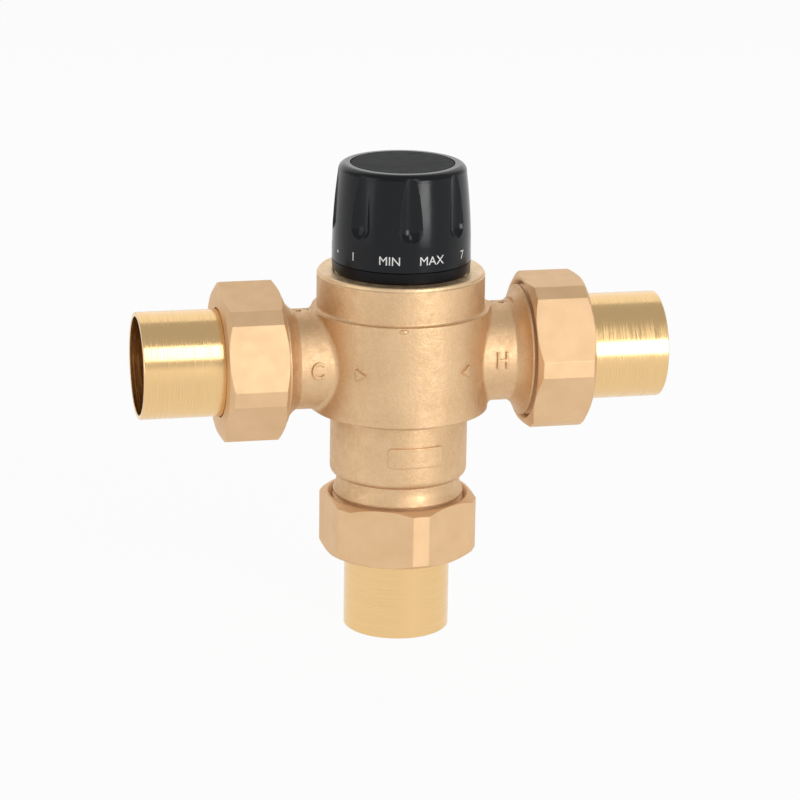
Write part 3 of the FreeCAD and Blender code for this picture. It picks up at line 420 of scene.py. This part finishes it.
def arrow(length, width, thickness, rounding):
    """Low triangular prism that points along +X, its foot at z = 0."""
    shape = bmesh.new()
    corners = [(-length / 2, -width / 2), (length / 2, 0), (-length / 2, width / 2)]
    verts = [shape.verts.new((across, up, 0)) for across, up in corners]
    base = shape.faces.new(verts)
    bmesh.ops.reverse_faces(shape, faces=[base])
    grown = bmesh.ops.extrude_face_region(shape, geom=[base], use_keep_orig=True)
    top = [item for item in grown["geom"] if isinstance(item, bmesh.types.BMVert)]
    bmesh.ops.translate(shape, verts=top, vec=(0, 0, thickness))
    rim = [edge for edge in shape.edges if all(vert in top for vert in edge.verts)]
    round_edges(shape, rim, rounding)
    bmesh.ops.recalc_face_normals(shape, faces=shape.faces)
    return shape


def rounded_plate(width, height, thickness, corner, rounding):
    """Low rectangular pad with round corners, its foot at z = 0."""
    shape = bmesh.new()
    bmesh.ops.create_cube(shape, size=1)
    bmesh.ops.scale(shape, verts=shape.verts, vec=(width, height, thickness))
    bmesh.ops.translate(shape, verts=shape.verts, vec=(0, 0, thickness / 2))
    half = thickness / 2
    upright = [
        edge for edge in shape.edges if abs(edge.verts[0].co.z - edge.verts[1].co.z) > half
    ]
    round_edges(shape, upright, corner, segments=6)
    rim = [edge for edge in shape.edges if all(vert.co.z > half for vert in edge.verts)]
    round_edges(shape, rim, rounding)
    return shape


def rounded_bump(width, height, thickness):
    """Upper half of a flattened ball, its foot at z = 0."""
    shape = bmesh.new()
    bmesh.ops.create_uvsphere(shape, u_segments=32, v_segments=16, radius=1)
    bmesh.ops.scale(shape, verts=shape.verts, vec=(width / 2, height / 2, thickness))
    bmesh.ops.bisect_plane(
        shape,
        geom=shape.verts[:] + shape.edges[:] + shape.faces[:],
        dist=ON_CUT,
        plane_co=(0, 0, 0),
        plane_no=(0, 0, 1),
        clear_inner=True,
    )
    rim = [edge for edge in shape.edges if edge.is_boundary]
    bmesh.ops.holes_fill(shape, edges=rim, sides=0)
    bmesh.ops.recalc_face_normals(shape, faces=shape.faces)
    return shape


def add_cast_mark(name, shape):
    add_piece(name, shape, CAST, "root")


def add_cast_marks():
    """Raised letters, arrows, pointer and bare plate of the casting."""
    narrow = (0.8, 1, 1)
    for name, text, along, tilt in (("cold_letter", "C", -33.2, 1), ("hot_letter", "H", 33.5, 4)):
        mark = letters(
            text, height=5.8 * MM, thickness=1.05 * MM, rounding=0.15 * MM, bolder=0.16 * MM
        )
        bmesh.ops.scale(mark, verts=mark.verts, vec=narrow)
        sink(mark, 0.2 * MM)
        wrap_arm(mark, along * MM, math.radians(tilt))
        add_cast_mark(name, mark)
    for name, azimuth, turn in (("cold_arrow", -37.5, 0), ("hot_arrow", 34, math.pi)):
        mark = arrow(length=4.0 * MM, width=4.6 * MM, thickness=1.15 * MM, rounding=0.2 * MM)
        sink(mark, 0.25 * MM)
        spin = Matrix.Rotation(turn, 3, "Z")
        bmesh.ops.rotate(mark, verts=mark.verts, cent=(0, 0, 0), matrix=spin)
        wrap_upright(mark, BAND_RADIUS, math.radians(azimuth), AXIS_HEIGHT)
        add_cast_mark(name, mark)
    pointer = rounded_bump(width=3.4 * MM, height=1.9 * MM, thickness=0.9 * MM)
    sink(pointer, 0.2 * MM)
    wrap_upright(pointer, BAND_RADIUS, math.radians(-10.2), AXIS_HEIGHT + 16.8 * MM)
    add_cast_mark("pointer", pointer)
    plate = rounded_plate(
        width=20.5 * MM, height=7.4 * MM, thickness=0.9 * MM, corner=1.4 * MM, rounding=0.25 * MM
    )
    sink(plate, 0.3 * MM)
    wrap_upright(plate, WAIST_RADIUS, math.radians(3), AXIS_HEIGHT - 31.5 * MM)
    add_cast_mark("waist_plate", plate)


def add_knob_print():
    """White scale round the knob's skirt: MIN, 1 to 7 with dots between them, and MAX."""
    print_height = KNOB_BOTTOM + 4.3 * MM
    print_radius = KNOB_RADIUS - 0.07 * MM
    film = 0.1 * MM
    word_azimuth = 17.7
    numbers = 7
    first_azimuth = -51.25
    step = (360 + 2 * first_azimuth) / (numbers - 1)

    def put(name, shape, azimuth):
        wrap_upright(shape, print_radius, KNOB_TURN + math.radians(azimuth), print_height)
        add_piece(name, shape, PRINT, "knob")

    marks = [("MIN", -word_azimuth), ("MAX", word_azimuth)]
    marks += [(str(index + 1), first_azimuth - index * step) for index in range(numbers)]
    for text, azimuth in marks:
        shape = letters(text, height=3.1 * MM, thickness=film, rounding=0.01 * MM)
        sink(shape, film / 2)
        put("print_" + text.lower(), shape, azimuth)
    for number in range(1, numbers):
        dot = bmesh.new()
        bmesh.ops.create_cone(
            dot, cap_ends=True, segments=24, radius1=0.55 * MM, radius2=0.55 * MM, depth=film
        )
        put(f"print_dot_{number}", dot, first_azimuth - (number - 0.5) * step)


add_cast_marks()
add_knob_print()


# ---- stand-in springs ----------------------------------------------------------------------------

def add_closing_spring(node):
    """Stand a copy in for a spring, riding on the spring's body, and hide the spring."""
    solid = NODES[node]
    coil = bpy.data.objects.new(node + "_coil", solid.data.copy())
    bpy.context.scene.collection.objects.link(coil)
    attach(coil, body_of(solid)[0])
    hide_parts(node)
    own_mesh(coil)


add_closing_spring("return_spring")
add_closing_spring("overload_spring")
add_closing_spring("cold_check_spring")
add_closing_spring("hot_check_spring")


# ---- studio --------------------------------------------------------------------------------------

def add_camera():
    """Long lens, a little to the cold side and above."""
    yaw = 0.223
    pitch = 0.286
    roll = 0.016
    distance = 1205.4 * MM
    shift_right = 0.124 * MM
    shift_down = 16.362 * MM
    reach = math.cos(pitch)
    forward = Vector((math.sin(yaw) * reach, math.cos(yaw) * reach, -math.sin(pitch)))
    level = Vector((math.cos(yaw), -math.sin(yaw), 0))
    rise = level.cross(forward)
    right = math.cos(roll) * level + math.sin(roll) * rise
    up = -math.sin(roll) * level + math.cos(roll) * rise
    aim = Vector((0, 0, AXIS_HEIGHT)) + shift_right * right - shift_down * up
    data = bpy.data.cameras.new("camera")
    data.lens = 151.77
    data.sensor_width = 36
    data.clip_start = 0.05
    data.clip_end = 20
    camera = bpy.data.objects.new("camera", data)
    turn = Matrix((right, up, -forward)).transposed().to_4x4()
    camera.matrix_world = Matrix.Translation(aim - distance * forward) @ turn
    bpy.context.scene.collection.objects.link(camera)
    bpy.context.scene.camera = camera


def add_lamp(name, place, size, power):
    """A soft box that faces the valve: its centre, width and height in metres, and its watts."""
    data = bpy.data.lights.new(name, "AREA")
    data.shape = "RECTANGLE"
    data.size, data.size_y = size
    data.energy = power
    lamp = bpy.data.objects.new(name, data)
    target = Vector((0, 0, AXIS_HEIGHT))
    facing = (target - Vector(place)).to_track_quat("-Z", "Y").to_matrix().to_4x4()
    lamp.matrix_world = Matrix.Translation(place) @ facing
    bpy.context.scene.collection.objects.link(lamp)


def is_background_ray(tree):
    """1 where a ray shows the background: seen directly, in metal or through glass."""
    rays = tree.nodes.new("ShaderNodeLightPath")
    seen = rays.outputs["Is Camera Ray"]
    for kind in ("Is Glossy Ray", "Is Transmission Ray"):
        either = tree.nodes.new("ShaderNodeMath")
        either.operation = "MAXIMUM"
        tree.links.new(seen, either.inputs[0])
        tree.links.new(rays.outputs[kind], either.inputs[1])
        seen = either.outputs["Value"]
    return seen


def map_range(tree, **ends):
    """A Map Range node with its ends set."""
    span = tree.nodes.new("ShaderNodeMapRange")
    for name, value in ends.items():
        span.inputs[name.replace("_", " ")].default_value = value
    return span


def add_world():
    """White round the sides, and grey overhead."""
    world = bpy.data.worlds.new("studio")
    world.use_nodes = True
    bpy.context.scene.world = world
    tree = world.node_tree
    background = tree.nodes["Background"]
    seen = map_range(tree, To_Min=0.42, To_Max=1.0)
    tree.links.new(is_background_ray(tree), seen.inputs["Value"])
    coordinates = tree.nodes.new("ShaderNodeTexCoord")
    split = tree.nodes.new("ShaderNodeSeparateXYZ")
    tree.links.new(coordinates.outputs["Generated"], split.inputs["Vector"])
    ceiling = map_range(tree, From_Min=0.04, From_Max=0.26, To_Min=1.0, To_Max=0.55)
    tree.links.new(split.outputs["Z"], ceiling.inputs["Value"])
    tree.links.new(ceiling.outputs["Result"], background.inputs["Color"])
    tree.links.new(seen.outputs["Result"], background.inputs["Strength"])


def add_floor():
    """Pale floor that shows white, apart from the valve's soft shadow."""
    gap = 0.5 * MM
    glow_share = 0.95
    shape = bmesh.new()
    bmesh.ops.create_grid(shape, x_segments=1, y_segments=1, size=6)
    bmesh.ops.translate(shape, verts=shape.verts, vec=(0, 0, -gap))
    mesh = bpy.data.meshes.new("floor")
    shape.to_mesh(mesh)
    shape.free()
    material = bpy.data.materials.new("pale_floor")
    material.use_nodes = True
    tree = material.node_tree
    paint = tree.nodes["Principled BSDF"]
    paint.inputs["Base Color"].default_value = (0.9, 0.9, 0.9, 1)
    paint.inputs["Roughness"].default_value = 0.9
    glow = tree.nodes.new("ShaderNodeEmission")
    glow.inputs["Color"].default_value = (1, 1, 1, 1)
    mix = tree.nodes.new("ShaderNodeMixShader")
    share = tree.nodes.new("ShaderNodeMath")
    share.operation = "MULTIPLY"
    share.inputs[1].default_value = glow_share
    tree.links.new(is_background_ray(tree), share.inputs[0])
    tree.links.new(share.outputs["Value"], mix.inputs["Fac"])
    tree.links.new(paint.outputs["BSDF"], mix.inputs[1])
    tree.links.new(glow.outputs["Emission"], mix.inputs[2])
    tree.links.new(mix.outputs["Shader"], tree.nodes["Material Output"].inputs["Surface"])
    mesh.materials.append(material)
    floor = bpy.data.objects.new("floor", mesh)
    bpy.context.scene.collection.objects.link(floor)


add_camera()
add_world()
add_floor()
add_lamp("key", (0.16, -0.93, 0.85), (0.28, 0.6), 2.05)
add_lamp("fill", (0.50, -1.0, 0.24), (0.34, 0.5), 4.2)
add_lamp("side", (-1.0, -0.25, 0.4), (0.6, 0.9), 1.8)
add_lamp("back", (0.1, 0.9, 0.75), (2.0, 1.1), 4.0)
bpy.context.scene.view_settings.view_transform = "Standard"
